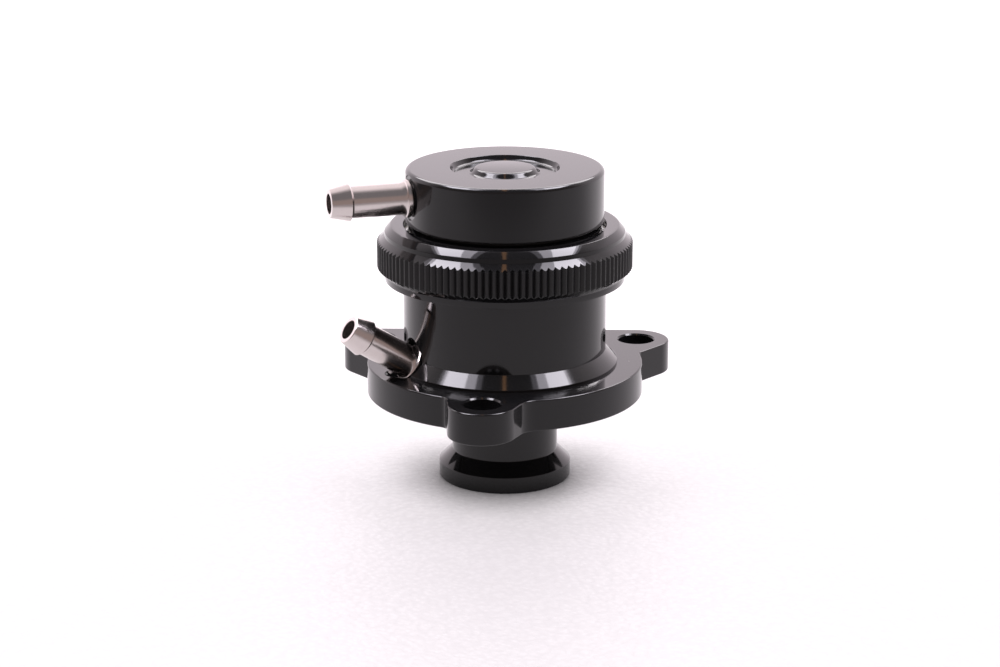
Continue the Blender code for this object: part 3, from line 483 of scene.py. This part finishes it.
def earFlank(ear, side):
    # The flank runs straight from the ear's round end, and a fillet leads it into the disc.
    angle, circle, clockwise, anticlockwise = ear
    taper, fillet = anticlockwise if side > 0 else clockwise
    taper = math.radians(taper)
    outward = Vector((math.cos(math.radians(angle)), math.sin(math.radians(angle))))
    across = side * Vector((-outward.y, outward.x))
    normal = math.cos(taper) * across + math.sin(taper) * outward
    inward = math.sin(taper) * across - math.cos(taper) * outward
    tip = circle * outward + bodySizes["ear"] * normal
    offset = tip + fillet * normal
    reach = bodySizes["disc"] + fillet
    along = offset.dot(inward)
    run = -along - math.sqrt(along**2 - offset.length_squared + reach**2)
    centre = offset + run * inward
    foot = centre - fillet * normal
    onDisc = centre * bodySizes["disc"] / reach
    return circle * outward, tip, foot, centre, onDisc


def flangeOutline():
    size = bodySizes
    outline = []
    ears = sorted(size["ears"].values())
    for index, ear in enumerate(ears):
        bolt, tipIn, footIn, centreIn, discIn = earFlank(ear, -1)
        bolt, tipOut, footOut, centreOut, discOut = earFlank(ear, 1)
        discNext = earFlank(ears[(index + 1) % len(ears)], -1)[-1]
        outline += arcBetween(centreIn, discIn, footIn, -1, size["filletStep"])
        outline += arcBetween(bolt, tipIn, tipOut, 1, size["earStep"])
        outline += arcBetween(centreOut, footOut, discOut, -1, size["filletStep"])
        outline += arcBetween(Vector((0, 0)), discOut, discNext, 1, size["discStep"])[1:-1]
    return outline


def makeFlangePlate():
    size = bodySizes
    level = 1e-6
    plate = drawLine("valveBody", [(point.x, point.y, flangeBottom) for point in flangeOutline()])
    bpy.ops.mesh.select_all(action="SELECT")
    bpy.ops.mesh.edge_face_add()
    rise = (0, 0, (flangeTop - flangeBottom) * mm)
    bpy.ops.mesh.extrude_region_move(TRANSFORM_OT_translate={"value": rise})
    bpy.ops.mesh.select_all(action="SELECT")
    bpy.ops.mesh.normals_make_consistent(inside=False)
    bpy.ops.mesh.select_mode(type="EDGE")
    bpy.ops.mesh.select_all(action="DESELECT")
    bpy.ops.object.mode_set(mode="OBJECT")
    points = plate.data.vertices
    for edge in plate.data.edges:
        one, other = [points[corner].co.z for corner in edge.vertices]
        edge.select = abs(one - other) < level
    bpy.ops.object.mode_set(mode="EDIT")
    bpy.ops.mesh.bevel(offset=size["edge"] * mm, segments=size["edgeSteps"], profile=0.5, affect="EDGES")
    closeMesh()
    return plate


nippleSizes = {
    "length": 15.3, "tube": 3.04, "bore": 1.9, "shoulder": 3.6, "shoulderHeight": 0.8,
    "shoulderFillet": 1.1, "filletRise": 0.8, "filletDrop": 0.95, "filletStep": 15,
    "barb": 3.53, "barbLength": 3.7, "barbBack": 0.4, "barbTip": 2.7, "stud": 2.9, "studLength": 3.0,
    "mouth": 0.1, "tipRound": 0.22, "barbRound": 0.06, "shoulderRound": 0.12, "studRound": 0.3, "round": 0.1,
    # its hole: the face it seats on, the hole for its stud and the passage beyond
    "spotFace": 4.27, "studHole": 3.2, "passage": 1.5, "gap": 0.3,
    # rise and angle of the nipple, how far out it seats, and the height where its line meets the axis
    "cap": {"rise": 0.0, "angle": 197.5, "seat": 18.58, "from": capTop - 4.7, "passageEnd": 7.5},
    "body": {"rise": 33.0, "angle": 205.0, "seat": 22.81, "from": flangeBottom - 5.0, "passageEnd": 6.45},
}


def nippleTurn(place):
    return (0, 90 - place["rise"], place["angle"])


def nipplePoint(place, along):
    rise = math.radians(place["rise"])
    level = along * math.cos(rise)
    return polarPoint(level, place["angle"], place["from"] + along * math.sin(rise))


def boreForNipple(piece, place):
    size = nippleSizes
    clear = size["length"] / 2
    hole = -size["studLength"]
    cutter = turned("nippleBore", [
        (0, clear), (size["spotFace"], clear), (size["spotFace"], 0),
        (size["studHole"], 0), (size["studHole"], hole),
        (size["passage"], hole), (size["passage"], -place["passageEnd"]),
        (0, -place["passageEnd"]),
    ], steps=96, closed=False)
    placed(cutter, nippleTurn(place), nipplePoint(place, place["seat"]))
    combined(piece, cutter)


def makeBarrel():
    size = bodySizes
    coneBottom = flangeTop + size["coneFrom"]
    coneTop = coneBottom + size["coneHeight"]
    threadFoot = rimTop - size["threadLength"]
    halfway = (flangeBottom + flangeTop) / 2
    return turned("barrel", [
        (0, rimTop), (size["thread"], rimTop, size["rimRound"]), (size["thread"], threadFoot, size["round"]),
        (size["barrel"], threadFoot, size["round"]), (size["barrel"], coneTop, size["coneRound"]),
        (size["coneFoot"], coneBottom, size["round"]), (size["coneFoot"], halfway), (0, halfway),
    ], closed=False)


def makeBodyCore():
    # The cylinder for the piston, the boss that guides it and the throat below.
    size = bodySizes
    leadOut = size["leadIn"] + past
    snapRadius, snapLow, snapHigh = size["snapGroove"]
    return turned("bodyCore", [
        (0, rimTop + past), (size["bore"] + leadOut, rimTop + past), (size["bore"], rimTop - size["leadIn"]),
        (size["bore"], size["chamberFloor"], size["chamberRound"]),
        (size["boss"], size["chamberFloor"], size["chamberRound"]),
        (size["boss"], size["bossTop"], size["bossRound"]),
        (size["bossBore"], size["bossTop"], size["bossRound"]),
        (size["bossBore"], snapHigh), (snapRadius, snapHigh),
        (snapRadius, snapLow), (size["bossBore"], snapLow),
        (size["bossBore"], size["bushSeat"]), (size["throat"], size["bushSeat"]),
        (size["throat"], flangeBottom + size["leadIn"]),
        (size["throat"] + leadOut, flangeBottom - past), (0, flangeBottom - past),
    ], closed=False)


def makeRingGroove(name, face, out):
    middle, width, depth = bodySizes[name]
    return turned(name, [
        (middle - width / 2, face + out * past), (middle + width / 2, face + out * past),
        (middle + width / 2, face - out * depth), (middle - width / 2, face - out * depth),
    ])


def makeBoltHole(angle, circle):
    size = bodySizes
    flare = size["bolt"] + size["boltEdge"] + past
    hole = turned("boltHole", [
        (0, flangeTop + past), (flare, flangeTop + past),
        (size["bolt"], flangeTop - size["boltEdge"], size["round"]),
        (size["bolt"], flangeBottom + size["boltEdge"], size["round"]),
        (flare, flangeBottom - past), (0, flangeBottom - past),
    ], steps=96, closed=False)
    return placed(hole, at=polarPoint(circle, angle, 0))


def makeValveBody():
    body = makeFlangePlate()
    combined(body, makeBarrel(), "UNION")
    combined(body, makeBodyCore())
    combined(body, makeRingGroove("rimRing", rimTop, 1))
    combined(body, makeRingGroove("faceRing", flangeBottom, -1))
    for angle, circle, *flanks in bodySizes["ears"].values():
        combined(body, makeBoltHole(angle, circle))
    boreForNipple(body, nippleSizes["body"])
    return finished(body, "housing", satinBlack, ["valve_body"])


valveBody = makeValveBody()
print("stage: body", len(valveBody.data.polygons))


# Cap, with a round groove in its top and the spring's room below

capSizes = {
    "wall": 18.83, "height": 10.2, "edge": 0.85, "neck": 18.3, "flange": 20.4, "flangeZ": (46.6, 47.5),
    "wallRound": 0.2, "neckRound": 0.05, "round": 0.1,
    "spigot": 13.7, "spigotBottom": 43.8, "spigotRound": 0.2,
    "cavity": 12.0, "ceiling": 2.7, "ceilingRound": 0.8,
    "guide": 7.0, "guideLength": 2.3, "guideRound": 0.2, "guideTipRound": 0.3,
    "boss": 5.65, "bossSlope": 0.8, "bossRound": 0.9,
    "grooveDepth": 1.05, "grooveFoot": 9.95, "grooveEnd": 10.4, "grooveRound": 0.7, "grooveLip": 0.2,
}


def makeCap():
    size = capSizes
    floor = capTop - size["grooveDepth"]
    foot = capTop - size["height"]
    ceiling = capTop - size["ceiling"]
    guideTip = ceiling - size["guideLength"]
    low, high = size["flangeZ"]
    cap = turned("capBody", [
        (0, capTop), (size["boss"], capTop, size["bossRound"]),
        (size["boss"] + size["bossSlope"], floor, size["bossRound"]),
        (size["grooveFoot"], floor, size["grooveRound"]), (size["grooveEnd"], capTop, size["grooveLip"]),
        (size["wall"], capTop, size["edge"]), (size["wall"], foot, size["wallRound"]),
        (size["neck"], foot, size["neckRound"]), (size["neck"], high, size["round"]),
        (size["flange"], high, size["round"]), (size["flange"], low, size["round"]),
        (size["spigot"], low, size["round"]), (size["spigot"], size["spigotBottom"], size["spigotRound"]),
        (size["cavity"], size["spigotBottom"], size["spigotRound"]),
        (size["cavity"], ceiling, size["ceilingRound"]),
        (size["guide"], ceiling, size["guideRound"]), (size["guide"], guideTip, size["guideTipRound"]),
        (0, guideTip),
    ], arcSteps=5, closed=False)
    boreForNipple(cap, nippleSizes["cap"])
    return finished(cap, "cap", satinBlack, ["cap"])


capBody = makeCap()
print("stage: cap", len(capBody.data.polygons))


# Locking collar with its fine straight knurl

collarSizes = {
    "knurl": 24.3, "neck": 22.85, "skirt": 22.9, "bore": 20.7, "mouth": 19.33, "lip": 1.3, "topWidth": 21.7,
    "skirtHeight": 1.25, "lowerChamfer": 1.25, "knurlHeight": 4.85, "upperChamfer": 1.2, "neckHeight": 0.8,
    "topRound": 0.15, "skirtRound": 0.12, "footRound": 0.2, "round": 0.1,
    "teeth": 112, "columns": 8, "depth": 0.53,
    # how deep each column of a tooth is cut, counted from the middle of the groove
    "grooveShape": {0: 1.0, 1: 0.7, 2: 0.38, 3: 0.08},
}


def makeCollar():
    size = collarSizes
    nearby = 0.01
    skirtTop = collarBottom + size["skirtHeight"]
    knurlBottom = skirtTop + size["lowerChamfer"]
    knurlTop = knurlBottom + size["knurlHeight"]
    neckBottom = knurlTop + size["upperChamfer"]
    neckTop = neckBottom + size["neckHeight"]
    lipBottom = collarTop - size["lip"]
    collar = turned("lockingCollar", [
        (size["topWidth"] - 0.6, collarTop), (size["topWidth"], collarTop, size["topRound"]),
        (size["neck"], neckTop, size["topRound"]), (size["neck"], neckBottom, size["round"]),
        (size["knurl"], knurlTop), (size["knurl"], knurlBottom),
        (size["skirt"], skirtTop, size["skirtRound"]), (size["skirt"], collarBottom, size["footRound"]),
        (size["bore"], collarBottom, size["footRound"]), (size["bore"], lipBottom, size["round"]),
        (size["mouth"], lipBottom, size["round"]), (size["mouth"], collarTop),
    ], steps=size["teeth"] * size["columns"], arcSteps=2)
    pitch = math.tau / size["teeth"]
    for column, share in size["grooveShape"].items():
        depth = size["depth"] * share
        squeeze = (size["knurl"] - depth) / size["knurl"]

        def inColumn(co):
            turn = (math.atan2(co.y, co.x) / pitch) % 1 * size["columns"]
            place = round(turn) % size["columns"]
            onCrest = math.hypot(co.x, co.y) > size["knurl"] - 2 * nearby
            return onCrest and min(place, size["columns"] - place) == column

        # The groove leaves through each chamfer further along than the crests do.
        for edge, chamferHeight, chamferWidth in (
            (knurlTop, size["upperChamfer"], size["knurl"] - size["neck"]),
            (knurlBottom, -size["lowerChamfer"], size["knurl"] - size["skirt"]),
        ):
            pickVertices(collar, lambda co: abs(co.z - edge) < nearby and inColumn(co))
            bpy.ops.transform.resize(value=(squeeze, squeeze, 1), center_override=(0, 0, 0))
            bpy.ops.transform.translate(value=(0, 0, depth * chamferHeight / chamferWidth * mm))
            closeMesh()
    return finished(collar, "collar", polishedBlack, ["locking_collar"], sharp=28)


lockingCollar = makeCollar()
print("stage: collar", len(lockingCollar.data.polygons))


# Hose nipples

def makeNipple(name, place, body, node):
    size = nippleSizes
    tip = size["length"]
    barb = tip - size["barbLength"]
    rise = size["shoulder"] - size["tube"]
    top = size["shoulderHeight"] + size["shoulderFillet"]
    fillet = []
    for angle in range(0, 91, size["filletStep"]):
        turn = math.radians(angle)
        fillet.append((
            size["tube"] + rise * size["filletRise"] * (1 - math.cos(turn)),
            top - size["shoulderFillet"] * math.sin(turn) * size["filletDrop"],
        ))
    nipple = turned(name, [
        (size["bore"] + size["mouth"], tip), (size["barbTip"], tip, size["tipRound"]),
        (size["barb"], barb, size["barbRound"]), (size["tube"], barb - size["barbBack"], size["round"]),
        *fillet,
        (size["shoulder"], size["shoulderHeight"], size["shoulderRound"]),
        (size["shoulder"], 0, size["round"]),
        (size["stud"], 0, size["round"]), (size["stud"], -size["studLength"], size["studRound"]),
        (size["bore"], -size["studLength"], size["round"]), (size["bore"], tip),
    ], steps=128)
    seat = nipplePoint(place, place["seat"] + size["gap"])
    placed(nipple, nippleTurn(place), seat)
    steel = stainless(name + "Steel", steelFinish, nippleTurn(place), seat)
    return finished(nipple, body, steel, [node])


capNipple = makeNipple("capNipple", nippleSizes["cap"], "cap", "cap_nipple")
bodyNipple = makeNipple("bodyNipple", nippleSizes["body"], "housing", "body_nipple")
print("stage: nipples", len(capNipple.data.polygons) + len(bodyNipple.data.polygons))


# Piston nose with the flared lip

noseSizes = {
    "lip": 12.7, "lipHeight": 3.15, "cone": 2.42, "tube": 10.15, "bore": 8.2, "top": 25.3, "floor": 4.5,
    "stem": 4.5, "stemTop": 23.0, "screwHole": 2.8, "holeEnd": 13.7,
    "footRound": 0.4, "lipRound": 0.15, "coneRound": 0.25, "topRound": 0.3, "mouthRound": 0.15,
    "floorRound": 0.5, "stemRound": 0.3, "holeRound": 0.2,
}


def makeNose():
    size = noseSizes
    coneTop = size["lipHeight"] + size["cone"]
    nose = turned("pistonNose", [
        (0, size["holeEnd"]), (size["screwHole"], size["holeEnd"]),
        (size["screwHole"], size["stemTop"], size["holeRound"]),
        (size["stem"], size["stemTop"], size["stemRound"]), (size["stem"], size["floor"], size["floorRound"]),
        (size["bore"], size["floor"], size["floorRound"]), (size["bore"], size["top"], size["mouthRound"]),
        (size["tube"], size["top"], size["topRound"]), (size["tube"], coneTop, size["coneRound"]),
        (size["lip"], size["lipHeight"], size["lipRound"]), (size["lip"], 0, size["footRound"]), (0, 0),
    ], closed=False)
    return finished(nose, "piston", satinBlack, ["piston_nose"])


pistonNose = makeNose()
print("stage: piston nose", len(pistonNose.data.polygons))


# Sealing rings and the return spring

ringSizes = {
    # node, body, middle radius, section and height
    "faceSeal": ("flange_face_o_ring", "housing", 21.65, 1.8, flangeBottom + 0.9),
    "rimSeal": ("cap_o_ring", "housing", 17.6, 1.5, 45.7),
    "pistonSeal": ("piston_o_ring", "piston", 13.05, 1.6, 28.3),
}
ringSteps = {"major_segments": 160, "minor_segments": 24}


def makeRing(name, node, body, radius, section, height):
    bpy.ops.mesh.primitive_torus_add(
        major_radius=radius * mm, minor_radius=section / 2 * mm, location=(0, 0, height * mm), **ringSteps,
    )
    ring = bpy.context.active_object
    ring.name = name
    ring.data.name = name
    bpy.ops.object.transform_apply(location=True, rotation=True, scale=True)
    openMesh(ring)
    bpy.ops.mesh.select_all(action="SELECT")
    bpy.ops.mesh.normals_make_consistent(inside=False)
    closeMesh()
    return finished(ring, body, inner["sealRubber"], [node], sharp=60)


for ringName, ringSettings in ringSizes.items():
    makeRing(ringName, *ringSettings)

springSizes = {
    "wire": 1.8, "coil": 8.9, "bottom": 29.3, "top": 56.6, "turns": 7, "endPitch": 2.0,
    "pointsPerTurn": 32, "wireSteps": 4,
}


def springHeight(turns):
    # The first and the last turn lie close, and those between share what is left.
    size = springSizes
    low = size["bottom"] + size["wire"] / 2
    high = size["top"] - size["wire"] / 2
    active = size["turns"] - 2
    pitch = (high - low - 2 * size["endPitch"]) / active
    ends = min(turns, 1) + max(turns - 1 - active, 0)
    return low + ends * size["endPitch"] + min(max(turns - 1, 0), active) * pitch


def makeSpring():
    size = springSizes
    doubles = 1e-6
    points = []
    for index in range(size["turns"] * size["pointsPerTurn"] + 1):
        turns = index / size["pointsPerTurn"]
        points.append(polarPoint(size["coil"], 360 * turns, springHeight(turns)))
    spring = drawLine("returnSpring", points)
    closeMesh()
    makeActive(spring)
    bpy.ops.object.convert(target="CURVE")
    spring = bpy.context.active_object
    spring.data.bevel_depth = size["wire"] / 2 * mm
    spring.data.bevel_resolution = size["wireSteps"]
    spring.data.use_fill_caps = True
    bpy.ops.object.convert(target="MESH")
    spring = bpy.context.active_object
    openMesh(spring)
    bpy.ops.mesh.select_all(action="SELECT")
    bpy.ops.mesh.remove_doubles(threshold=doubles)
    bpy.ops.mesh.normals_make_consistent(inside=False)
    closeMesh()
    finished(spring, "cap", inner["drawnSpringSteel"], ["return_spring"], sharp=60)
    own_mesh(spring)
    return spring


returnSpring = makeSpring()
print("stage: rings and spring", len(returnSpring.data.polygons))


# Solids that keep their own shape get their finish here

keptFinishes = {
    "guide_bush": inner["sinteredBronze"], "seal_retainer": inner["drawnSpringSteel"],
    "nose_seal": inner["sealRubber"], "piston_crown": satinBlack, "piston_screw": inner["blackOxideSteel"],
    "piston_wear_band": inner["waxyPtfe"], "collar_slip_ring": inner["waxyPtfe"],
    "spring_shim": inner["drawnSpringSteel"],
}
for node, material in keptFinishes.items():
    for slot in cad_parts[node].material_slots:
        slot.material = material
print("stage: kept solids")


# Table, lights, room and camera: these settings are metres and degrees

tableSettings = {
    "width": 9.0, "roughness": 0.55, "pale": (0.038, 0.035, 0.037), "warm": (0.033, 0.030, 0.032),
    # waves per metre of the hide's pebbles, its fibres and its slow change of tint
    "hideScale": 900.0, "fibreScale": 260.0, "tintScale": 9.0, "bump": 0.7, "reliefDepth": 0.0002,
    # its painted glow, the reach of the painted shade at a foot, and how open a place is where the painted
    # shade ends and the painted light begins
    "glow": (1.0, 0.943, 0.976), "paintedGlowStrength": 0.725, "shadeReach": 0.09, "shade": (0.19, 0.5),
    # from where to where the painted glow changes along Y, painted darker towards the front and brighter
    # towards the back, and its share at the far end
    "paintedFrontFade": (-0.3, -0.12, 0.4), "paintedBackRise": (0.0, 0.14, 1.5),
    # the painted glow's share in the middle and at the edge of a pebble, and where that edge lies
    "pebble": (1.03, 0.95), "pebbleEdge": 0.6,
}


def makeTable():
    settings = tableSettings
    bpy.ops.mesh.primitive_plane_add(size=settings["width"], location=(0, 0, 0))
    table = bpy.context.active_object
    table.name = "table"
    material, tree, shader, where = newMaterial("paleTable", Roughness=settings["roughness"])
    hide = addNode(tree, "TexVoronoi", {"feature": "SMOOTH_F1"}, Vector=where, Scale=settings["hideScale"])
    fibre = addNode(tree, "TexNoise", Vector=where, Scale=settings["fibreScale"], Detail=6.0, Roughness=0.6)
    tint = addNode(tree, "TexNoise", Vector=where, Scale=settings["tintScale"], Detail=3.0)
    base = mixed(tree, tint.outputs["Fac"], opaque(settings["pale"]), opaque(settings["warm"]))
    tree.links.new(base, shader.inputs["Base Color"])
    relief = calculated(tree, "ADD", hide.outputs["Distance"], fibre.outputs["Fac"])
    addRelief(tree, shader, relief, settings["bump"], settings["reliefDepth"])
    # The pale hide glows with painted light, though it is no lamp: open places glow evenly, and painted shade
    # from ambient occlusion darkens the glow towards the foot of whatever stands on it.
    openness = addNode(tree, "AmbientOcclusion", {"samples": 12}, Distance=settings["shadeReach"])
    glowInPaintedShade = ranged(tree, openness.outputs["AO"], 0.0, settings["paintedGlowStrength"], *settings["shade"])
    # Painted light and shade along Y: the glow is darker towards the front and brighter towards the back.
    depth = addNode(tree, "SeparateXYZ", Vector=where).outputs["Y"]
    near, far, least = settings["paintedFrontFade"]
    paintedFrontDarkening = ranged(tree, depth, least, 1.0, near, far, smooth=True)
    near, far, most = settings["paintedBackRise"]
    rise = ranged(tree, depth, 1.0, most, near, far, smooth=True)
    paintedFalloff = calculated(tree, "MULTIPLY", paintedFrontDarkening, rise)
    pebble = ranged(tree, hide.outputs["Distance"], *settings["pebble"], 0.0, settings["pebbleEdge"])
    grained = calculated(tree, "MULTIPLY", paintedFalloff, pebble)
    # The emission strength is the painted light: the glow, its painted shade and its painted falloff along Y
    # together.
    strength = calculated(tree, "MULTIPLY", glowInPaintedShade, grained)
    shader.inputs["Emission Color"].default_value = opaque(settings["glow"])
    tree.links.new(strength, shader.inputs["Emission Strength"])
    table.data.materials.append(material)
    return table


lightSettings = {
    # centre, width, length and turn of each panel, then its glow and colour
    "wideBoxLeft": ((-0.272, 0.010, 0.56), 0.38, 0.54, -30.0, 1.6, (0.93, 0.88, 1.0)),
    "wideBoxRight": ((0.308, 0.010, 0.56), 0.38, 0.54, 30.0, 1.6, (0.93, 0.88, 1.0)),
    "softBoxLeft": ((-0.272, 0.008, 0.55), 0.30, 0.44, -30.0, 6.5, (0.95, 0.90, 1.0)),
    "softBoxRight": ((0.308, 0.008, 0.55), 0.30, 0.44, 30.0, 6.5, (0.95, 0.90, 1.0)),
    "hotCoreLeft": ((-0.297, 0.003, 0.54), 0.19, 0.33, -30.0, 11.0, (0.96, 0.92, 1.0)),
    "hotCoreRight": ((0.333, 0.003, 0.54), 0.19, 0.33, 30.0, 11.0, (0.96, 0.92, 1.0)),
    "warmStrip": ((-0.003, 0.02, 0.53), 0.022, 0.62, 0.0, 2.4, (1.0, 0.50, 0.22)),
    "backgroundLight": ((0.0, 1.0, 0.9), 1.6, 0.9, 0.0, 6.0, (1.0, 0.95, 0.98)),
}


def makeCard(shaded):
    # A card keeps the panels off a satin piece, which then only mirrors the room.
    card = bpy.data.collections.new("carded")
    card.objects.link(shaded)
    for member in card.collection_objects:
        member.light_linking.link_state = "EXCLUDE"
    return card


def makeLight(card, name, place, width, length, turn, glow, colour):
    bpy.ops.object.light_add(type="AREA", location=place, rotation=(0, 0, math.radians(turn)))
    light = bpy.context.active_object
    light.name = name
    light.data.shape = "RECTANGLE"
    light.data.size = width
    light.data.size_y = length
    light.data.energy = glow * math.pi * width * length
    light.data.color = colour
    light.visible_camera = False
    light.light_linking.receiver_collection = card


roomSettings = {
    # colours in front and behind, low down and high up
    "frontLow": (0.34, 0.27, 0.255), "frontHigh": (0.2, 0.19, 0.2),
    "backLow": (1.55, 1.39, 1.48), "backHigh": (1.15, 1.04, 1.08),
    # where the back begins along Y and the upper part along Z, as shares of the whole sphere's radius
    "backFrom": (-0.2, 0.4), "highFrom": (0.42, 0.62),
}


def makeRoom():
    # A bright backdrop behind the valve, and in front a brown-grey room with a dim ceiling.
    settings = roomSettings
    world = bpy.data.worlds.new("studio")
    scene.world = world
    world.use_nodes = True
    tree = world.node_tree
    tree.nodes.clear()
    out = tree.nodes.new("ShaderNodeOutputWorld")
    where = tree.nodes.new("ShaderNodeTexCoord").outputs["Generated"]
    split = addNode(tree, "SeparateXYZ", Vector=where)
    back = ranged(tree, split.outputs["Y"], 0.0, 1.0, *settings["backFrom"], smooth=True)
    high = ranged(tree, split.outputs["Z"], 0.0, 1.0, *settings["highFrom"], smooth=True)
    front = mixed(tree, high, opaque(settings["frontLow"]), opaque(settings["frontHigh"]))
    behind = mixed(tree, high, opaque(settings["backLow"]), opaque(settings["backHigh"]))
    shine = addNode(tree, "Background", Color=mixed(tree, back, front, behind), Strength=1.0)
    tree.links.new(shine.outputs[0], out.inputs["Surface"])


cameraSettings = {"place": (-0.00092, -0.4816, 0.1704), "tilt": 73.544, "lens": 94.19, "sensor": 36}


def makeCamera():
    settings = cameraSettings
    bpy.ops.object.camera_add(location=settings["place"], rotation=(math.radians(settings["tilt"]), 0, 0))
    camera = bpy.context.active_object
    camera.name = "photoCamera"
    camera.data.lens = settings["lens"]
    camera.data.sensor_width = settings["sensor"]
    return camera


makeTable()
card = makeCard(capNipple)
for lightName, settings in lightSettings.items():
    makeLight(card, lightName, *settings)
makeRoom()
scene.camera = makeCamera()
scene.view_settings.view_transform = "Standard"
print("stage: table, lights, room and camera")
